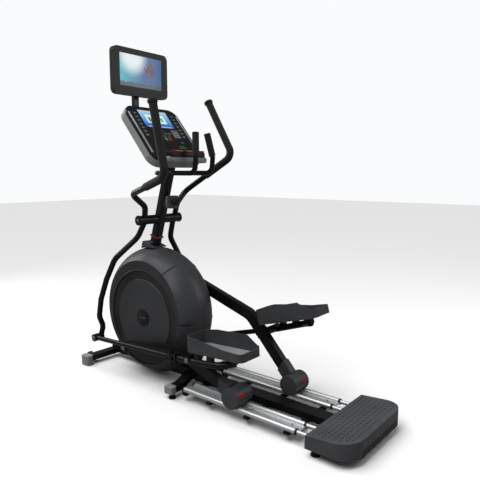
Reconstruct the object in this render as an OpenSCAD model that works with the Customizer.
// Front-drive elliptical trainer with a rail track, swing handles, console and screen.
// +X points to the rear step, +Y to the user's right, +Z up. Z = 0 is the floor and the
// origin lies under the middle of the machine. "side" is -1 for the left, 1 for the right.

/* [Overall] */
// Length from the transport wheels to the back of the step
machine_len = 2140; // [2120:5:2600]
// Distance between the two rails' centre lines
rail_track = 350; // [330:5:420]
// Distance from the front of the machine to the crank axis
crank_setback = 568; // [560:1:620]

/* [Linkage] */
// Crank radius, half of the stride
crank_r = 260; // [215:1:270]
// Height of the crank axis
crank_z = 402; // [395:1:440]
// Angle of the right crank pin above the rearward direction at rest
crank_rest = 57; // [45:1:70]
// Roller arm, from crank pin to roller axle
arm_len = 958; // [940:1:1100]
// Pedal pivot on the roller arm, along the arm from the crank pin
ped_along = 653; // [620:1:680]
// Pedal pivot on the roller arm, above the pin to axle line
ped_up = 135; // [125:1:145]
// Link, from the swing arm's lower joint to the pedal pivot
link_len = 888; // [875:1:900]
// Swing arm, from its pivot to its lower joint
swing_r = 895; // [885:1:905]
// Height of the swing pivot
pivot_z = 1031; // [1020:1:1045]
// Swing pivot, behind the crank axis
pivot_dx = 11; // [0:1:30]

/* [Roller arms] */
// Depth of the rectangular arm tube
arm_d = 64; // [50:1:70]
// Width of the rectangular arm tube
arm_w = 40; // [32:1:46]
// Wall of the arm tube
arm_wall = 3; // [2:0.5:4]
// Height of the arm's bend above the pin to axle line
bend_up = 126; // [100:1:135]
// Distance of the arm's bend from the crank pin
bend_along = 500; // [470:1:520]

/* [Rails and rollers] */
// Diameter of a rail tube
rail_d = 30; // [24:1:34]
// Height of the rail tubes' centre
rail_z = 65; // [60:1:72]
// Distance between the two tubes of one rail
rail_pair = 87; // [80:1:96]
// Diameter of a roller wheel
wheel_d = 73.2; // [60:0.2:88]
// Width of a roller wheel
wheel_w = 24; // [18:1:28]
// Diameter of the roller axle
axle_d = 16; // [12:1:20]
// Outer radius of the roller cover
cover_r = 57; // [52:1:64]

/* [Swing arms and links] */
// Outer diameter of the swing arm and handle tube
tube_d = 36; // [30:1:42]
// Wall of the bent round tubes
tube_wall = 2.5; // [1.5:0.5:3.5]
// Outer diameter of the foam grip
grip_d = 47; // [43:1:54]
// Diameter of the swing pivot axle
pivot_d = 38; // [30:1:42]
// Diameter of the swing hubs
hub_d = 58; // [54:1:66]
// Diameter of the front link tube
link_d = 31; // [26:1:36]
// Diameter of the pedal arm tube
ped_tube_d = 38; // [32:1:42]
// Diameter of the pedal pivot shaft
ped_axle_d = 24; // [20:1:28]

/* [Pedals] */
// Width of a pedal
pedal_w = 180; // [150:1:200]
// Length of a pedal
pedal_len = 410; // [340:1:430]
// Height of the pedal's inner wall
pedal_h = 98; // [80:1:110]
// Wall of the pedal tray
pedal_wall = 6; // [4:1:8]

/* [Drive and shroud] */
// Outside radius of the drive shroud
shroud_r = 415; // [400:1:440]
// Width of the drive shroud
shroud_w = 296; // [280:1:310]
// Wall of the shroud
shroud_wall = 4; // [3:0.5:5]
// Radius of the crank disc
disc_r = 303; // [295:1:310]
// Diameter of the crank axle
crank_axle_d = 25; // [20:1:30]
// Radius of the drive pulley
pulley_r = 130; // [110:1:140]
// Radius of the flywheel
flywheel_r = 120; // [100:1:130]
// Radius of the small pulley on the flywheel
small_r = 30; // [24:1:36]

/* [Mast, console and screen] */
// Fore and aft size of the mast
mast_a = 60; // [50:1:72]
// Side to side size of the mast
mast_b = 55; // [46:1:66]
// Backward lean of the mast, degrees
mast_lean = 16.8; // [15:0.1:18]
// Width of the console
console_w = 430; // [380:5:500]
// Length of the console along its face
console_len = 450; // [420:5:500]
// Thickness of the console
console_t = 62; // [50:1:80]
// Lean of the console's face from level, degrees
console_tilt = 49.4; // [45:0.1:55]
// Width of the screen housing
tv_w = 440; // [380:5:520]
// Height of the screen housing
tv_h = 288; // [250:2:340]
// Thickness of the screen housing
tv_t = 38; // [30:1:50]
// Height of the top of the screen
tv_top = 2101; // [2080:1:2110]

/* [Step and feet] */
// Width of the rear step
step_w = 582; // [520:2:640]
// Length of the rear step
step_len = 250; // [220:2:280]
// Height of the step's tread
step_z = 118; // [112:1:126]
// Distance between left and right feet
feet_track = 490; // [440:2:540]

/* [Clearances] */
// Radial running fit of a shaft in its bore
fit = 0.05; // [0.02:0.01:0.1]
// Gap between a wheel and the tube that it rolls on
roll_gap = 0.4; // [0.3:0.1:0.6]
// Gap between pieces that pass each other
pass_gap = 1; // [0.5:0.5:3]

/* [Hidden] */
$fn = 64;

black = [0.07, 0.07, 0.08];
charcoal = [0.2, 0.2, 0.21];
grey = [0.45, 0.46, 0.46];
silver = [0.72, 0.73, 0.73];
steel = [0.6, 0.6, 0.62];

// Places along the machine
front_x = -machine_len / 2;
rear_x = machine_len / 2;
crank_x = front_x + crank_setback;
pivot_x = crank_x + pivot_dx;
axle_z = rail_z + rail_d / 2 + roll_gap + wheel_d / 2;
step_front = rear_x - step_len;
foot_y = feet_track / 2;

// Places across the machine
disc_face = shroud_w / 2 - 2;
arm_gap = 9;
arm_y = max(rail_track / 2, disc_face + arm_gap + arm_w / 2);
arm_in = arm_y - arm_w / 2;
arm_out = arm_y + arm_w / 2;
boss_in = arm_in - 1;
boss_out = arm_out + 1;
swing_y = arm_out + 51;
joint_in = arm_out + 5;
joint_out = joint_in + 26;
link_y = joint_out + 5 + 20;
hub_in = 92;
hub_out = 165;
upper_y = 132;
lower_y = 120;

// The linkage at rest, solved in the X-Z plane as [x, z]
function pin_angle(side) = crank_rest + (side < 0 ? 180 : 0);
function pin(side) = [crank_x, crank_z] + crank_r * [cos(pin_angle(side)), sin(pin_angle(side))];
function arm_tilt(side) = asin((pin(side)[1] - axle_z) / arm_len);
function along(p, tilt, x, z) = p + [x * cos(tilt) + z * sin(tilt), z * cos(tilt) - x * sin(tilt)];
function roller(side) = along(pin(side), arm_tilt(side), arm_len, 0);
function ped(side) = along(pin(side), arm_tilt(side), ped_along, ped_up);
pivot = [pivot_x, pivot_z];
// Where circles round a and b meet, on the left of the line from a to b
function meet(a, ra, b, rb) = let(d = norm(b - a), u = (b - a) / d,
    s = (ra * ra - rb * rb + d * d) / (2 * d)) a + s * u + sqrt(ra * ra - s * s) * [-u[1], u[0]];
function joint(side) = meet(ped(side), link_len, pivot, swing_r)[0] < pivot[0]
    ? meet(ped(side), link_len, pivot, swing_r) : meet(pivot, swing_r, ped(side), link_len);
function link_tilt(side) = let(d = ped(side) - joint(side)) atan2(d[1], d[0]);
function swing_tilt(side) = let(d = pivot - joint(side)) atan2(d[0], d[1]);

// Small geometry helpers
function unit(v) = v / norm(v);
function across(d) = let(c = cross([0, 1, 0], d)) norm(c) < 0.01 ? [1, 0, 0] : unit(c);
function columns(ex, ey, ez, o) = [[ex[0], ey[0], ez[0], o[0]], [ex[1], ey[1], ez[1], o[1]],
    [ex[2], ey[2], ez[2], o[2]], [0, 0, 0, 1]];
function turn_at(p, i) = 180 - acos(unit(p[i - 1] - p[i]) * unit(p[i + 1] - p[i]));
function setback(p, i, rb) = i == 0 || i == len(p) - 1 ? 0 : rb * tan(turn_at(p, i) / 2);

// Bar along straight runs and elbows of radius rb. The first child is the profile of a run and
// the last child the profile of an elbow. A run laps into the elbows at its ends, which are
// larger by "seam" all round, as a pressed sleeve is.
lap = 1;
seam = 0.3;
module bent_bar(p, rb) {
    for (i = [0 : len(p) - 2]) {
        ez = unit(p[i + 1] - p[i]);
        ex = across(ez);
        a = p[i] + ez * (setback(p, i, rb) - (i > 0 ? lap : 0));
        b = p[i + 1] - ez * (setback(p, i + 1, rb) - (i < len(p) - 2 ? lap : 0));
        multmatrix(columns(ex, cross(ez, ex), ez, a)) linear_extrude(norm(b - a)) children(0);
    }
    for (i = [1 : len(p) - 2]) {
        u = unit(p[i - 1] - p[i]);
        v = unit(p[i + 1] - p[i]);
        mid = p[i] + unit(u + v) * rb / cos(turn_at(p, i) / 2);
        ex = unit(p[i] + u * setback(p, i, rb) - mid);
        multmatrix(columns(ex, -u, cross(ex, -u), mid))
            rotate_extrude(angle = turn_at(p, i)) translate([rb, 0]) children($children - 1);
    }
}

// Bent round tube
module bent_tube(p, rb, r, wall) bent_bar(p, rb) {
    ring(r, r - wall);
    ring(r + seam, r - wall - seam);
}

// Bent rectangular bar, h in the plane of the bends and w across it
module bent_box(p, rb, h, w) bent_bar(p, rb) {
    square([h, w], center = true);
    square([h + 2 * seam, w + 2 * seam], center = true);
}

// Straight round tube from a to b
module rod(a, b, r, wall) {
    ez = unit(b - a);
    ex = across(ez);
    multmatrix(columns(ex, cross(ez, ex), ez, a)) linear_extrude(norm(b - a)) ring(r, r - wall);
}

module ring(r, ri) {
    difference() {
        circle(r);
        circle(ri);
    }
}

// Round bar along Y
module ybar(x, z, y0, y1, d) translate([x, y0, z]) rotate([-90, 0, 0]) cylinder(d = d, h = y1 - y0);

// Plate drawn in X-Z and thickened along Y
module side_plate(y0, y1) translate([0, y1, 0]) rotate([90, 0, 0]) linear_extrude(y1 - y0) children();

// Block from two corners
module block(a, b) translate(a) cube(b - a);

// Rectangle with rounded corners, centred
module round_rect(w, h, r) {
    square([w - 2 * r, h], center = true);
    square([w, h - 2 * r], center = true);
    for (x = [-1, 1], y = [-1, 1]) translate([x * (w / 2 - r), y * (h / 2 - r)]) circle(r);
}

module on_side(side) {
    if (side < 0) mirror([0, 1, 0]) children();
    else children();
}

// Frames that move: children are drawn for the right side
module in_swing(side) translate([pivot[0], 0, pivot[1]]) rotate([0, swing_tilt(side), 0])
    on_side(side) children();
module in_link(side) translate([ped(side)[0], 0, ped(side)[1]]) rotate([0, -link_tilt(side), 0])
    on_side(side) children();
module in_arm(side) translate([pin(side)[0], 0, pin(side)[1]]) rotate([0, arm_tilt(side), 0])
    on_side(side) children();

// Swing arm and handle, with Y measured outward from the middle of the machine
handle_path = [[4, upper_y, 24], [1, upper_y + 18, 97], [-32, upper_y + 120, 169],
    [288, upper_y + 213, 439], [38, upper_y + 217, 767]];
lower_path = [[0, lower_y, -24], [-17, lower_y + 1, -135], [-36, swing_y - 3, -292],
    [-57, swing_y, -460], [-58, swing_y, -620], [-32, swing_y - 2, -745],
    [-5, joint_in + 13, 85 - swing_r], [0, joint_in + 13, -swing_r]];
handle_bend = 60;
lower_bend = 90;
joint_d = 48;
// The grip covers the upper part of the handle, from this share of the run below its bend
grip_from = 0.45;
grip_path = [handle_path[2] + grip_from * (handle_path[3] - handle_path[2]), handle_path[3],
    handle_path[4]];

module swing_arm(side) color(black) in_swing(side) difference() {
    union() {
        ybar(0, 0, hub_in, hub_out, hub_d);
        bent_tube(handle_path, handle_bend, tube_d / 2, tube_wall);
        bent_tube(lower_path, lower_bend, tube_d / 2, tube_wall);
        ybar(0, -swing_r, joint_in, joint_out, joint_d);
        ybar(0, -swing_r, joint_out, joint_out + 4, joint_d - 18);
    }
    ybar(0, 0, hub_in - 1, hub_out + 1, pivot_d + 2 * fit);
}

module handle_grip(side) color(charcoal) in_swing(side) {
    end = grip_path[2];
    dir = unit(grip_path[2] - grip_path[1]);
    ex = across(dir);
    bent_tube(grip_path, handle_bend, grip_d / 2, (grip_d - tube_d) / 2 - 2 * seam);
    multmatrix(columns(ex, cross(dir, ex), dir, end)) {
        cylinder(d = grip_d, h = 6);
        translate([0, 0, -8]) rotate_extrude() difference() {
            union() {
                translate([tube_d / 2, 0]) square([grip_d / 2 + 5 - tube_d / 2, 14]);
                translate([grip_d / 2 + 1, 7]) circle(4);
            }
            translate([0, -2]) square([tube_d / 2, 20]);
        }
    }
}

// Link and pedal, with X pointing from the lower joint to the pedal pivot
link_z = -8;
link_pin_x = -145;
link_pin_d = 16;
eye_h = 24;
fork_h = 12;
pedal_front = -8;
pedal_floor = 50;
plate_t = 5;
pedal_y = arm_y + 1;
ped_hub_d = 46;

module link_rod(side) color(black) in_link(side) {
    ybar(-link_len, 0, joint_out + 6.5, link_y + 20, 50);
    rod([-link_len + 20, link_y, 0], [link_pin_x - 24, link_y, link_z], link_d / 2, tube_wall);
    difference() {
        translate([link_pin_x, link_y, link_z - eye_h / 2]) union() {
            cylinder(d = link_d + 3, h = eye_h);
            translate([-34, -14, 0]) cube([34, 28, eye_h]);
        }
        translate([link_pin_x, link_y, link_z - eye_h]) cylinder(d = link_pin_d + 2 * fit, h = 2 * eye_h);
    }
}

module link_pin(side) color(black) in_link(side) translate([link_pin_x, link_y, link_z]) {
    pin_h = 92;
    translate([0, 0, -pin_h / 2]) cylinder(d = link_pin_d, h = pin_h);
    for (z = [-1, 1]) translate([0, 0, z * (pin_h / 2 - 9) - 9]) cylinder(d = 25, h = 18);
}

module pedal_arm(side) color(black) in_link(side) {
    r = ped_tube_d / 2;
    fork_z = eye_h / 2 + pass_gap;
    difference() {
        union() {
            bent_tube([[-104, link_y, link_z], [10, link_y, link_z], [210, link_y, 3],
                [300, pedal_y + 10, 12]], 70, r, tube_wall);
            translate([-104, link_y - 22, link_z - fork_z - fork_h]) cube([14, 44, 2 * (fork_z + fork_h)]);
            for (z = [fork_z, -fork_z - fork_h]) translate([link_pin_x, link_y, link_z + z]) {
                cylinder(d = 40, h = fork_h);
                translate([0, -20, 0]) cube([-90 - link_pin_x, 40, fork_h]);
            }
            ybar(0, 0, arm_out + 2, link_y + 20, ped_hub_d);
            translate([24, pedal_y - 60, pedal_floor - plate_t]) cube([320, 130, plate_t]);
            for (x = [50, 145]) translate([x, link_y - 24, 6]) cube([34, 30, pedal_floor - 6 - plate_t / 2]);
            translate([262, pedal_y + 2, 8]) cube([46, 36, pedal_floor - 8 - plate_t / 2]);
        }
        ybar(0, 0, arm_out - 2, link_y + 25, ped_axle_d + 2 * fit);
        for (z = [fork_z, -fork_z - fork_h]) translate([link_pin_x, link_y, link_z + z - 1])
            cylinder(d = link_pin_d, h = fork_h + 2);
    }
}

// Side view of the pedal's top, for its inner and outer walls
module above_inner_wall() {
    polygon([[pedal_front - 20, pedal_floor + pedal_h - 8], [pedal_front + 30, pedal_floor + pedal_h - 8],
        [pedal_front + 90, pedal_floor + pedal_h], [pedal_len - 105, pedal_floor + pedal_h],
        [pedal_len - 40, pedal_floor + 52], [pedal_len + 20, pedal_floor + 44],
        [pedal_len + 20, pedal_floor + 200], [pedal_front - 20, pedal_floor + 200]]);
}
module above_outer_wall() {
    polygon([[pedal_front - 20, pedal_floor + pedal_h - 8], [pedal_front + 30, pedal_floor + pedal_h - 9],
        [pedal_front + 130, pedal_floor + 0.78 * pedal_h], [pedal_len - 130, pedal_floor + 52],
        [pedal_len + 20, pedal_floor + 44], [pedal_len + 20, pedal_floor + 200],
        [pedal_front - 20, pedal_floor + 200]]);
}

module pedal_plan(inset) translate([pedal_front + pedal_len / 2, pedal_y])
    round_rect(pedal_len - 2 * inset, pedal_w - 2 * inset, 34 - inset);

module pedal_tray(side) color(charcoal) in_link(side) difference() {
    translate([0, 0, pedal_floor]) linear_extrude(pedal_h) pedal_plan(0);
    translate([0, 0, pedal_floor + 8]) linear_extrude(pedal_h) pedal_plan(pedal_wall);
    side_plate(pedal_y - pedal_w, pedal_y - pedal_w / 2 + pedal_wall + 6) above_inner_wall();
    side_plate(pedal_y - pedal_w / 2 + pedal_wall + 6, pedal_y + pedal_w) above_outer_wall();
}

module pedal_mat(side) color(grey) in_link(side)
    translate([0, 0, pedal_floor + 8]) linear_extrude(5) pedal_plan(pedal_wall + 4);

// Roller arm, with X pointing from the crank pin to the roller axle
pin_d = 30;
pin_boss_d = arm_d + 6;
axle_boss_d = arm_d - 4;

module arm_path_bar(grow) bent_box([[18, arm_y, 18 * bend_up / bend_along], [bend_along, arm_y, bend_up],
    [arm_len - 16, arm_y, 16 * bend_up / (arm_len - bend_along)]], 110,
    arm_d + 2 * grow, arm_w + 2 * grow);

module roller_arm(side) color(black) in_arm(side) {
    difference() {
        union() {
            difference() {
                arm_path_bar(0);
                arm_path_bar(-arm_wall);
            }
            ybar(0, 0, boss_in, boss_out, pin_boss_d);
            ybar(arm_len, 0, boss_in, boss_out, axle_boss_d);
        }
        ybar(0, 0, boss_in - 1, boss_out + 1, pin_d);
        ybar(arm_len, 0, boss_in - 1, boss_out + 1, axle_d + 2 * fit);
    }
    ybar(ped_along, ped_up, boss_in, boss_out, ped_hub_d);
    ybar(ped_along, ped_up, boss_out - 1, link_y + 14, ped_axle_d);
}

module crank_pin(side) color(charcoal) in_arm(side) {
    ybar(0, 0, disc_face + pass_gap, boss_out, pin_d);
    ybar(0, 0, disc_face + pass_gap, boss_in, pin_d + 16);
    ybar(0, 0, boss_out, boss_out + 6, pin_d + 22);
}

cover_in = arm_y - rail_pair / 2 - rail_d / 2 - 8;
cover_out = arm_y + rail_pair / 2 + rail_d / 2 + 8;

module roller_cover(side) color(charcoal) difference() {
    x = roller(side)[0];
    z = roller(side)[1];
    union() {
        on_side(side) ybar(x, z, cover_in, cover_out, 2 * cover_r);
        in_arm(side) intersection() {
            arm_path_bar(5);
            translate([arm_len - 120, 0, -60]) cube([80, 2 * arm_y, 220]);
        }
    }
    on_side(side) ybar(x, z, cover_in + 4, cover_out - 4, 2 * cover_r - 6);
    in_arm(side) arm_path_bar(0.3);
    // Room below for the rail, with 10 degrees of arm travel to spare
    on_side(side) translate([x - 2 * cover_r, cover_in + 4, z - 20 - 2 * cover_r])
        cube([4 * cover_r, cover_out - cover_in - 8, 2 * cover_r]);
}

module roller_axle(side) color(steel) on_side(side)
    ybar(roller(side)[0], roller(side)[1], cover_in + 4 + pass_gap, cover_out - 4 - pass_gap, axle_d);

module roller_wheels(side) color(black) translate([roller(side)[0], 0, roller(side)[1]]) on_side(side)
    for (y = [-1, 1]) difference() {
        ybar(0, 0, arm_y + y * rail_pair / 2 - wheel_w / 2, arm_y + y * rail_pair / 2 + wheel_w / 2, wheel_d);
        ybar(0, 0, arm_y + y * rail_pair / 2 - wheel_w, arm_y + y * rail_pair / 2 + wheel_w,
            axle_d + 2 * fit);
    }

// Track: rails, centre beam, step and feet
rail_wall = 4;
rail_front = crank_x + 441;
rail_end = step_front - 85;
cross_x = crank_x + 362;
beam_w = 86;
beam_h = 40;
bar_h = 12;
mid_foot_h = 32;
rear_foot_h = 42;
step_wall = 6;
step_r = 110;
step_rise = 13;
bar_x = [rail_front + 22, rail_front + 210, rail_front + 480, rail_end - 60];

module rail(side) color(silver) on_side(side) {
    for (y = [-1, 1]) translate([0, arm_y + y * rail_pair / 2, rail_z]) {
        translate([rail_front, 0, 0]) rotate([0, 90, 0]) linear_extrude(rail_end - rail_front)
            ring(rail_d / 2, rail_d / 2 - rail_wall);
        translate([rail_end - 40, 0, 0]) rotate([0, 90, 0])
            cylinder(r = rail_d / 2 - rail_wall, h = step_front + step_wall - rail_end + 40);
    }
    translate([rail_front, arm_y - rail_pair / 2 + rail_d / 2 - 3, rail_z - 5])
        cube([rail_end - rail_front, rail_pair - rail_d + 6, 5]);
    for (y = [-16, 16]) translate([rail_front, arm_y + y - 1.5, rail_z])
        cube([rail_end - rail_front, 3, 3]);
}

module centre_beam() color(black) {
    difference() {
        block([cross_x, -beam_w / 2, beam_h], [step_front + 30, beam_w / 2, 2 * beam_h]);
        block([cross_x + 4, -beam_w / 2 + 3, beam_h + 3], [step_front + 26, beam_w / 2 - 3, 2 * beam_h - 3]);
    }
    for (x = bar_x) block([x - 16, -arm_y - rail_pair / 2 - 18, rail_z - rail_d / 2 - bar_h],
        [x + 16, arm_y + rail_pair / 2 + 18, rail_z - rail_d / 2]);
    // Brace inside the step, above the rear feet
    block([step_front + step_wall + 2, -foot_y - 22, rear_foot_h], [step_front + 54, foot_y + 22, rear_foot_h + 8]);
}

module step_plan() {
    translate([step_front, -step_w / 2]) square([step_len - step_r, step_w]);
    translate([rear_x - step_r - 40, -step_w / 2 + step_r]) square([step_r + 40, step_w - 2 * step_r]);
    for (y = [-1, 1]) translate([rear_x - step_r, y * (step_w / 2 - step_r)]) circle(step_r);
}

// Side view of the space above the step, which rises a little to the back
module above_step(drop) polygon([[step_front - 20, step_z - step_rise - drop], [rear_x + 20, step_z + step_rise - drop],
    [rear_x + 20, 2 * step_z], [step_front - 20, 2 * step_z]]);

module rear_step() color(charcoal) difference() {
    translate([0, 0, rear_foot_h]) linear_extrude(step_z) step_plan();
    side_plate(-step_w, step_w) above_step(0);
    difference() {
        translate([0, 0, rear_foot_h - 10]) linear_extrude(step_z) intersection() {
            translate([-step_wall, 0]) step_plan();
            block_2d([step_front + step_wall, -step_w / 2 + step_wall], [rear_x - step_wall, step_w / 2 - step_wall]);
        }
        side_plate(-step_w, step_w) above_step(step_wall);
    }
    for (side = [-1, 1], y = [-1, 1]) translate([step_front - 1, side * (arm_y + y * rail_pair / 2), rail_z])
        rotate([0, 90, 0]) cylinder(r = rail_d / 2 - rail_wall, h = step_wall + 2);
    block([step_front - 1, -beam_w / 2, 30], [step_front + 8, beam_w / 2, 2 * beam_h]);
}
module block_2d(a, b) translate(a) square(b - a);

module levelling_feet() color(black) for (side = [-1, 1]) {
    translate([cross_x + 10, side * foot_y, 0]) foot(mid_foot_h);
    translate([step_front + 32, side * foot_y, 0]) foot(rear_foot_h);
}
module foot(h) {
    cylinder(d = 46, h = 6);
    translate([0, 0, 6]) cylinder(d = 38, h = 8);
    translate([0, 0, 14]) cylinder(d = 12, h = h - 14);
}

// Main frame inside and below the shroud
spine_w = 60;
spine_z0 = 40;
spine_z1 = 100;
stab_x = front_x + 84;
mast_top_z = 1440;
function mast_x(z) = crank_x - 41 + (z - 834) * tan(mast_lean);
stub_z = 905;
plate_y = 62;
plate_w = 8;
bearing_d = 52;
bearing_w = 15;
flywheel_x = crank_x + 102;
flywheel_z = crank_z + 238;
flywheel_axle_d = 17;

module along_mast(z0, z1) translate([mast_x(z0), 0, z0]) rotate([0, mast_lean, 0])
    linear_extrude((z1 - z0) / cos(mast_lean)) children();

module frame_plate() {
    polygon([[crank_x - 190, spine_z1 - 20], [crank_x + 150, spine_z1 - 20], [crank_x + 60, crank_z],
        [flywheel_x + 34, flywheel_z], [flywheel_x, flywheel_z + 34], [flywheel_x - 60, flywheel_z],
        [crank_x - 60, crank_z + 40]]);
}

module main_frame() color(black) {
    difference() {
        block([stab_x - 10, -spine_w / 2, spine_z0], [cross_x, spine_w / 2, spine_z1]);
        block([stab_x - 6, -spine_w / 2 + 3, spine_z0 + 3], [cross_x - 4, spine_w / 2 - 3, spine_z1 - 3]);
    }
    difference() {
        union() {
            for (side = [-1, 1]) on_side(side) {
                side_plate(plate_y, plate_y + plate_w) frame_plate();
                ybar(crank_x, crank_z, plate_y - 2, plate_y + bearing_w + 5, bearing_d + 18);
            }
            for (x = [crank_x - 170, crank_x + 60]) block([x, -plate_y - 2, spine_z1 - 12], [x + 60, plate_y + 2, spine_z1]);
        }
        ybar(crank_x, crank_z, -plate_y * 2, plate_y * 2, bearing_d);
        ybar(flywheel_x, flywheel_z, -plate_y * 2, plate_y * 2, flywheel_axle_d + 2 * fit);
    }
    // Lug and pin for the idler pulley
    side_plate(plate_y, plate_y + plate_w) polygon([idler_at + [16, -14], idler_at + [16, 14],
        idler_at + [-70, 40], idler_at + [-80, -40]]);
    ybar(idler_at[0], idler_at[1], 18, plate_y + 2, idler_d);
    // Stub that the mast stands on
    difference() {
        along_mast(spine_z1 - 10, stub_z) round_rect(mast_a - 8, mast_b - 8, 8);
        along_mast(spine_z1 + 10, stub_z + 5) round_rect(mast_a - 16, mast_b - 16, 5);
    }
    // Arms for the controller board
    for (y = [-22, 14], z = [board_z + 12, board_z + 112])
        block([board_x, y, z], [mast_x(z) - 20, y + 8, z + 6]);
    // Arched cross member
    difference() {
        arch(0);
        arch(-3);
    }
}

module arch(grow) translate([cross_x, 0, 0]) rotate([0, 0, 90])
    bent_box([[-foot_y, 0, 50], [-foot_y + 70, 0, 56], [-90, 0, 98], [90, 0, 98],
        [foot_y - 70, 0, 56], [foot_y, 0, 50]], 60, 36 + 2 * grow, 60 + 2 * grow);

module front_stabiliser() color(black) {
    difference() {
        block([stab_x - 30, -foot_y + 5, 26], [stab_x + 30, foot_y - 5, 62]);
        block([stab_x - 27, -foot_y, 29], [stab_x + 27, foot_y, 59]);
        block([stab_x - 10, -spine_w / 2, spine_z0], [stab_x + 40, spine_w / 2, spine_z1]);
    }
    for (side = [-1, 1]) on_side(side) for (y = [-17, 17])
        side_plate(wheel_y + y - 2.5, wheel_y + y + 2.5) {
            translate([tw_x, tw_z]) circle(13);
            block_2d([tw_x, tw_z - 10], [stab_x - 29, tw_z + 13]);
        }
    for (side = [-1, 1]) on_side(side) ybar(tw_x, tw_z, wheel_y - 22, wheel_y + 22, tw_bolt_d);
}

tw_d = 50;
tw_bolt_d = 8;
tw_x = front_x + tw_d / 2;
tw_z = 38;
wheel_y = foot_y - 62;
module transport_wheel(side) color(charcoal) on_side(side) difference() {
    ybar(tw_x, tw_z, wheel_y - 12, wheel_y + 12, tw_d);
    ybar(tw_x, tw_z, wheel_y - 20, wheel_y + 20, tw_bolt_d + 2 * fit);
}

module stabiliser_caps() color(grey) for (side = [-1, 1]) on_side(side) {
    difference() {
        translate([stab_x, foot_y + 5, 0]) linear_extrude(68) round_rect(80, 50, 16);
        block([stab_x - 30, foot_y - 40, 26], [stab_x + 30, foot_y - 5, 62]);
    }
    difference() {
        translate([cross_x, foot_y + 8, mid_foot_h]) linear_extrude(42) round_rect(68, 46, 12);
        arch(0);
    }
}

// Mast with the cross axle for the swing arms
module mast() color(black) {
    difference() {
        along_mast(stub_z - 60, mast_top_z) round_rect(mast_a, mast_b, 12);
        along_mast(stub_z - 80, stub_z) round_rect(mast_a - 8, mast_b - 8, 8);
        along_mast(stub_z + 10, mast_top_z + 20) round_rect(mast_a - 6, mast_b - 6, 9);
    }
    ybar(pivot[0], pivot[1], -hub_in + pass_gap, hub_in - pass_gap, hub_d);
    ybar(pivot[0], pivot[1], -hub_out - pass_gap, hub_out + pass_gap, pivot_d);
    for (side = [-1, 1]) on_side(side) difference() {
        ybar(pivot[0], pivot[1], hub_out + pass_gap, hub_out + 9, hub_d + 5);
        ybar(pivot[0], pivot[1], hub_out + 5, hub_out + 12, 22);
    }
}

// Fixed handlebar, a U round the front of the mast
bar_z = 1325;
bar_y = 72;
bar_d = 30;
bar_front = mast_x(bar_z) - mast_a / 2 - bar_d / 2 - 6;
bar_rear = bar_front + 352;
bar_path = [[bar_rear - 12, -50, bar_z + 226], [bar_rear + 10, -bar_y, bar_z + 92],
    [bar_rear, -bar_y, bar_z], [bar_front, -bar_y, bar_z], [bar_front, bar_y, bar_z],
    [bar_rear, bar_y, bar_z], [bar_rear + 10, bar_y, bar_z + 92], [bar_rear - 12, 50, bar_z + 226]];

module handlebar() color(black) {
    bent_tube(bar_path, 42, bar_d / 2, 2);
    difference() {
        block([bar_front, -38, bar_z - 11], [mast_x(bar_z) + 20, 38, bar_z + 11]);
        along_mast(bar_z - 60, bar_z + 60) round_rect(mast_a, mast_b, 12);
    }
}

module bar_grips() color(charcoal) for (i = [0, 7]) {
    top = bar_path[i];
    foot = bar_path[i == 0 ? 1 : 6];
    dir = unit(top - foot);
    ex = across(dir);
    multmatrix(columns(ex, cross(dir, ex), dir, foot + dir * 8)) difference() {
        cylinder(d = bar_d + 10, h = norm(top - foot));
        translate([0, 0, -1]) cylinder(d = bar_d + 2 * seam, h = norm(top - foot) - 7);
    }
}

// Console, drawn with X up its face, Y across, Z out of its face
con_low = [crank_x + 229, 1398];
con_c = console_len / 2;
lip = 14;
face_t = 10;
disp_w = 236;
disp_h = 146;
disp_x = console_len - 28 - disp_h / 2;
key_d = 24;
key_x = 178;

module console_shape(inset, r) translate([con_c, 0]) round_rect(console_len - 2 * inset, console_w - 2 * inset, r);

// The console's own axes: X runs up the face and forward, Z leaves the face to the user
module in_console() translate([con_low[0], 0, con_low[1]])
    multmatrix(columns([-cos(console_tilt), 0, sin(console_tilt)], [0, -1, 0],
        [sin(console_tilt), 0, cos(console_tilt)], [0, 0, 0])) children();
// A point on the back of the console, as [x, z]
function con_back(x) = con_low + x * [-cos(console_tilt), sin(console_tilt)]
    - console_t * [sin(console_tilt), cos(console_tilt)];

module console_back() color(grey) difference() {
    in_console() difference() {
        translate([0, 0, -console_t]) linear_extrude(console_t - lip) console_shape(0, 70);
        translate([0, 0, -console_t + 4]) linear_extrude(console_t) console_shape(5, 65);
    }
    along_mast(bar_z, mast_top_z + 60) round_rect(mast_a, mast_b, 12);
}

module console_face() color(black) in_console() difference() {
    translate([0, 0, -lip]) linear_extrude(lip) console_shape(2, 68);
    translate([disp_x, 0, -6]) linear_extrude(10) square([disp_h, disp_w], center = true);
    translate([0, 0, -lip - 1]) linear_extrude(lip + 1 - face_t) console_shape(6, 64);
    for (y = [-1, 1]) translate([key_x, y * key_pitch / 2, -lip]) cylinder(d = key_d + 1, h = 2 * lip);
    translate([38, 0, -8]) linear_extrude(12) round_rect(46, 250, 12);
}

module console_display() color([0.25, 0.5, 0.75]) in_console()
    translate([disp_x, 0, -6]) linear_extrude(4) square([disp_h - 1, disp_w - 1], center = true);

key_pitch = 34;
key_rim = 1.8;
// A key that stands out of the face and is held by its rim behind the plate
module console_key(y) in_console() translate([key_x, y, -face_t - 0.1 - key_rim]) {
    cylinder(d = key_d, h = face_t + key_rim + 2.1);
    cylinder(d = key_d + 6, h = key_rim);
}

board_x = crank_x - 330;
board_z = crank_z + 40;
module controller_board() color([0.1, 0.35, 0.2]) {
    block([board_x - 3, -45, board_z], [board_x, 45, board_z + 130]);
    block([board_x - 21, -30, board_z + 20], [board_x - 2, 10, board_z + 80]);
}

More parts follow.
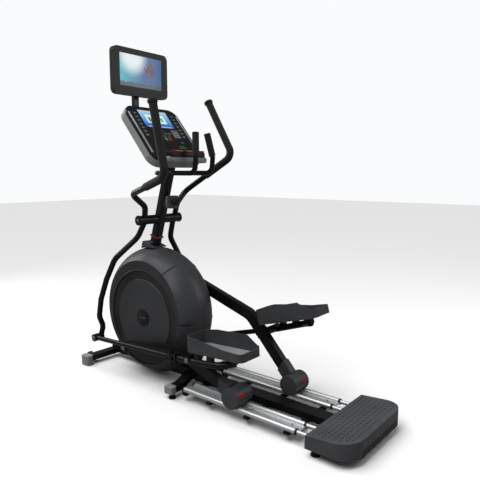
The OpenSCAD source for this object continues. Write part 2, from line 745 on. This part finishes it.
// Bottle holder on the user's side of the mast
cup_z = 1105;
cup_r = 38;
cup_x = mast_x(cup_z + 40) + mast_a / 2 + 14 + cup_r;
module bottle_holder() color(charcoal) {
    difference() {
        translate([cup_x, 0, cup_z]) cylinder(r = cup_r, h = 78);
        translate([cup_x, 0, cup_z + 4]) cylinder(r = cup_r - 3, h = 90);
        translate([cup_x + cup_r, 0, cup_z + 42]) rotate([90, 0, 0]) cylinder(d = 44, h = 120, center = true);
    }
    difference() {
        block([cup_x - cup_r - 22, -20, cup_z + 12], [cup_x - cup_r + 3, 20, cup_z + 66]);
        along_mast(cup_z - 60, cup_z + 160) round_rect(mast_a, mast_b, 12);
    }
    translate([cup_x - cup_r, 0, cup_z + 62]) rotate([0, mast_lean, 0]) {
        cylinder(d = 7, h = 42);
        translate([0, 0, 42]) sphere(5);
    }
}

// Screen on its post above the console
tv_x = crank_x - 128;
tv_pivot_z = tv_top - tv_h / 2;
tv_back_x = tv_x - tv_t;
post_x = tv_back_x - 32;
tilt_y = 30;
module tv_case() color(black) {
    difference() {
        side_yz(tv_back_x, tv_x) translate([0, tv_top - tv_h / 2]) round_rect(tv_w, tv_h, 34);
        side_yz(tv_x - 6, tv_x + 1) translate([0, tv_top - 36 - 98]) square([346, 198], center = true);
    }
    difference() {
        for (y = [-1, 1]) block([post_x - 16, y * tilt_y - 4, tv_pivot_z - 20],
            [tv_back_x + 1, y * tilt_y + 4, tv_pivot_z + 20]);
        ybar(post_x, tv_pivot_z, -60, 60, 12 + 2 * fit);
    }
}
module side_yz(x0, x1) translate([x0, 0, 0]) multmatrix(columns([0, 1, 0], [0, 0, 1], [1, 0, 0], [0, 0, 0]))
    linear_extrude(x1 - x0) children();

module tv_screen() color([0.1, 0.5, 0.7]) side_yz(tv_x - 6, tv_x - 3)
    translate([0, tv_top - 36 - 98]) square([344, 196], center = true);

module tv_bracket() color(black) {
    block([post_x - 14, -20, con_back(380)[1] - 40], [post_x + 12, 20, tv_pivot_z - 14]);
    side_plate(-20, 20) polygon([con_back(380), con_back(432), [post_x, con_back(432)[1] + 10],
        [post_x, con_back(380)[1] - 30]]);
    ybar(post_x, tv_pivot_z, -tilt_y + 5, tilt_y - 5, 28);
    ybar(post_x, tv_pivot_z, -tilt_y - 10, tilt_y + 10, 12);
}

// Shroud: two shells with a round opening for the crank disc
shroud_x = crank_x - 10;
shroud_z = crank_z + 28;
flat_r = disc_r + 38;
crown_r = (pow(shroud_r - flat_r, 2) + pow(shroud_w / 2, 2)) / (2 * (shroud_r - flat_r));

module crown(inset) intersection() {
    translate([shroud_r - crown_r, 0]) circle(crown_r - inset);
    translate([0, 0]) square([shroud_r, shroud_w / 2 - inset]);
}

module half_drum(inset) translate([shroud_x, 0, shroud_z]) rotate([-90, 0, 0]) rotate_extrude() {
    crown(inset);
    square([shroud_r - crown_r, shroud_w / 2 - inset]);
}

module shroud(side) color(charcoal) on_side(side) difference() {
    half_drum(0);
    half_drum(shroud_wall);
    ybar(crank_x, crank_z, shroud_w / 2 - 30, shroud_w / 2 + 5, 2 * (disc_r + 3));
    along_mast(spine_z1 - 20, stub_z + 40) round_rect(mast_a + 6, mast_b + 6, 12);
    block([crank_x - 450, -spine_w, spine_z0 - 1], [crank_x + 450, spine_w / 2 + 1, spine_z1 + 1]);
    block([inlet_x - 1, -inlet_w / 2, inlet_z], [inlet_x + inlet_t, inlet_w / 2, inlet_z + inlet_h]);
}

module shroud_collar() color(charcoal) difference() {
    along_mast(shroud_top - 26, shroud_top + 14) round_rect(150, 124, 26);
    along_mast(shroud_top - 60, shroud_top + 40) round_rect(mast_a, mast_b, 12);
    ybar(shroud_x, shroud_z, -100, 100, 2 * (shroud_r + roll_gap));
}
shroud_top = shroud_z + shroud_r;

// Drive: crank, pulley, belt, flywheel
crank_arm_y0 = plate_y + bearing_w + 26;
module crank_axle() color(steel) {
    ybar(crank_x, crank_z, -disc_face + 9, disc_face - 9, crank_axle_d);
    for (side = [-1, 1]) on_side(side) {
        ybar(crank_x, crank_z, crank_arm_y0, disc_face - 9, 62);
        a = pin_angle(side);
        translate([crank_x, 0, crank_z]) rotate([0, -a, 0])
            block([0, crank_arm_y0 + 1, -20], [crank_r, disc_face - 10, 20]);
        ybar(pin(side)[0], pin(side)[1], crank_arm_y0, disc_face - 9, 50);
    }
}

module crank_disc(side) color(charcoal) on_side(side) translate([crank_x, 0, crank_z])
    rotate([-90, 0, 0]) rotate_extrude() polygon([[0, disc_face - 8], [disc_r, disc_face - 8],
        [disc_r, disc_face - 2], [disc_r - 10, disc_face - 3], [disc_r * 0.82, disc_face - 5],
        [disc_r * 0.81, disc_face - 1], [0, disc_face - 1], [0, disc_face - 8]]);

module drive_pulley() color(black) difference() {
    union() {
        ybar(crank_x, crank_z, 20, 44, 2 * pulley_r);
        ybar(crank_x, crank_z, 10, 50, 60);
    }
    ybar(crank_x, crank_z, 0, 60, crank_axle_d);
    for (a = [0 : 60 : 300]) translate([crank_x, 0, crank_z]) rotate([0, a, 0])
        ybar((pulley_r + 30) / 2, 0, 0, 60, pulley_r - 60);
}

module crank_bearings() color(silver) for (side = [-1, 1]) on_side(side) difference() {
    ybar(crank_x, crank_z, plate_y, plate_y + bearing_w, bearing_d);
    ybar(crank_x, crank_z, plate_y - 1, plate_y + bearing_w + 1, crank_axle_d + 2 * fit);
}

belt_gap = 0.3;
belt_t = 3;
module belt_shape(grow) {
    d = norm([flywheel_x - crank_x, flywheel_z - crank_z]);
    a = atan2(flywheel_z - crank_z, flywheel_x - crank_x);
    r0 = pulley_r + belt_gap + grow;
    r1 = small_r + belt_gap + grow;
    b = acos((r0 - r1) / d);
    c0 = [crank_x, crank_z];
    c1 = [flywheel_x, flywheel_z];
    translate(c0) circle(r0);
    translate(c1) circle(r1);
    polygon([c0 + r0 * [cos(a + b), sin(a + b)], c0, c0 + r0 * [cos(a - b), sin(a - b)],
        c1 + r1 * [cos(a - b), sin(a - b)], c1, c1 + r1 * [cos(a + b), sin(a + b)]]);
}
module drive_belt() color(black) side_plate(23, 41) difference() {
    belt_shape(belt_t);
    belt_shape(0);
}

module flywheel() color(steel) {
    difference() {
        ybar(flywheel_x, flywheel_z, -50, -14, 2 * flywheel_r);
        for (a = [0 : 60 : 300]) translate([flywheel_x, 0, flywheel_z]) rotate([0, a, 0])
            ybar(flywheel_r * 0.55, 0, -60, 0, flywheel_r * 0.35);
    }
    ybar(flywheel_x, flywheel_z, -14, 20, 40);
    ybar(flywheel_x, flywheel_z, 20, 44, 2 * small_r);
    ybar(flywheel_x, flywheel_z, -plate_y - plate_w - 8, plate_y + plate_w + 8, flywheel_axle_d);
}

idler_r = 22;
idler_d = 10;
idler_n = let(a = atan2(flywheel_z - crank_z, flywheel_x - crank_x),
    b = acos((pulley_r - small_r) / norm([flywheel_x - crank_x, flywheel_z - crank_z]))) [cos(a - b), sin(a - b)];
idler_at = [crank_x, crank_z] + idler_n * (pulley_r + 2 * belt_gap + belt_t + idler_r)
    + [-idler_n[1], idler_n[0]] * 110;
module idler_pulley() color(silver) difference() {
    ybar(idler_at[0], idler_at[1], 22, 42, 2 * idler_r);
    ybar(idler_at[0], idler_at[1], 10, 60, idler_d + 2 * fit);
}

// Mains inlet in the front of the shroud, low down
inlet_w = 48;
inlet_h = 32;
inlet_t = 26;
inlet_z = 130;
inlet_x = shroud_x - sqrt(pow(shroud_r, 2) - pow(shroud_z - inlet_z - inlet_h / 2, 2)) - 2;
module power_inlet() color(black) {
    difference() {
        block([inlet_x, -inlet_w / 2, inlet_z], [inlet_x + inlet_t, inlet_w / 2, inlet_z + inlet_h]);
        block([inlet_x - 1, -12, inlet_z + 7], [inlet_x + inlet_t - 6, 12, inlet_z + inlet_h - 7]);
    }
    for (y = [-7, 0, 7]) block([inlet_x + 6, y - 1, inlet_z + 14], [inlet_x + inlet_t - 5, y + 1, inlet_z + 18]);
}

module frame_bolts() color(steel) {
    for (side = [-1, 1], x = bar_x) translate([x, side * arm_y, rail_z]) cylinder(d = 9, h = 7);
    for (side = [-1, 1]) on_side(side) ybar(mast_x(stub_z - 28), stub_z - 28, mast_b / 2, mast_b / 2 + 6, 14);
}

main_frame();
front_stabiliser();
stabiliser_caps();
levelling_feet();
centre_beam();
rail(-1);  // left_rail
rail(1);  // right_rail
rear_step();
mast();
handlebar();
bar_grips();
console_back();
console_face();
console_display();
color([0.2, 0.6, 0.3]) console_key(key_pitch / 2);  // start_key
color([0.7, 0.1, 0.1]) console_key(-key_pitch / 2);  // stop_key
bottle_holder();
shroud(-1);  // left_shroud
shroud(1);  // right_shroud
shroud_collar();
crank_bearings();
crank_axle();
drive_pulley();
crank_disc(-1);  // left_crank_disc
crank_disc(1);  // right_crank_disc
drive_belt();
flywheel();
idler_pulley();
controller_board();
power_inlet();
frame_bolts();
tv_bracket();
tv_case();
tv_screen();
transport_wheel(-1);  // left_transport_wheel
transport_wheel(1);  // right_transport_wheel
swing_arm(-1);  // left_swing_arm
handle_grip(-1);  // left_handle_grip
link_rod(-1);  // left_link_rod
link_pin(-1);  // left_link_pin
pedal_arm(-1);  // left_pedal_arm
pedal_tray(-1);  // left_pedal_tray
pedal_mat(-1);  // left_pedal_mat
roller_arm(-1);  // left_roller_arm
crank_pin(-1);  // left_crank_pin
roller_cover(-1);  // left_roller_cover
roller_axle(-1);  // left_roller_axle
roller_wheels(-1);  // left_roller_wheels
swing_arm(1);  // right_swing_arm
handle_grip(1);  // right_handle_grip
link_rod(1);  // right_link_rod
link_pin(1);  // right_link_pin
pedal_arm(1);  // right_pedal_arm
pedal_tray(1);  // right_pedal_tray
pedal_mat(1);  // right_pedal_mat
roller_arm(1);  // right_roller_arm
crank_pin(1);  // right_crank_pin
roller_cover(1);  // right_roller_cover
roller_axle(1);  // right_roller_axle
roller_wheels(1);  // right_roller_wheels
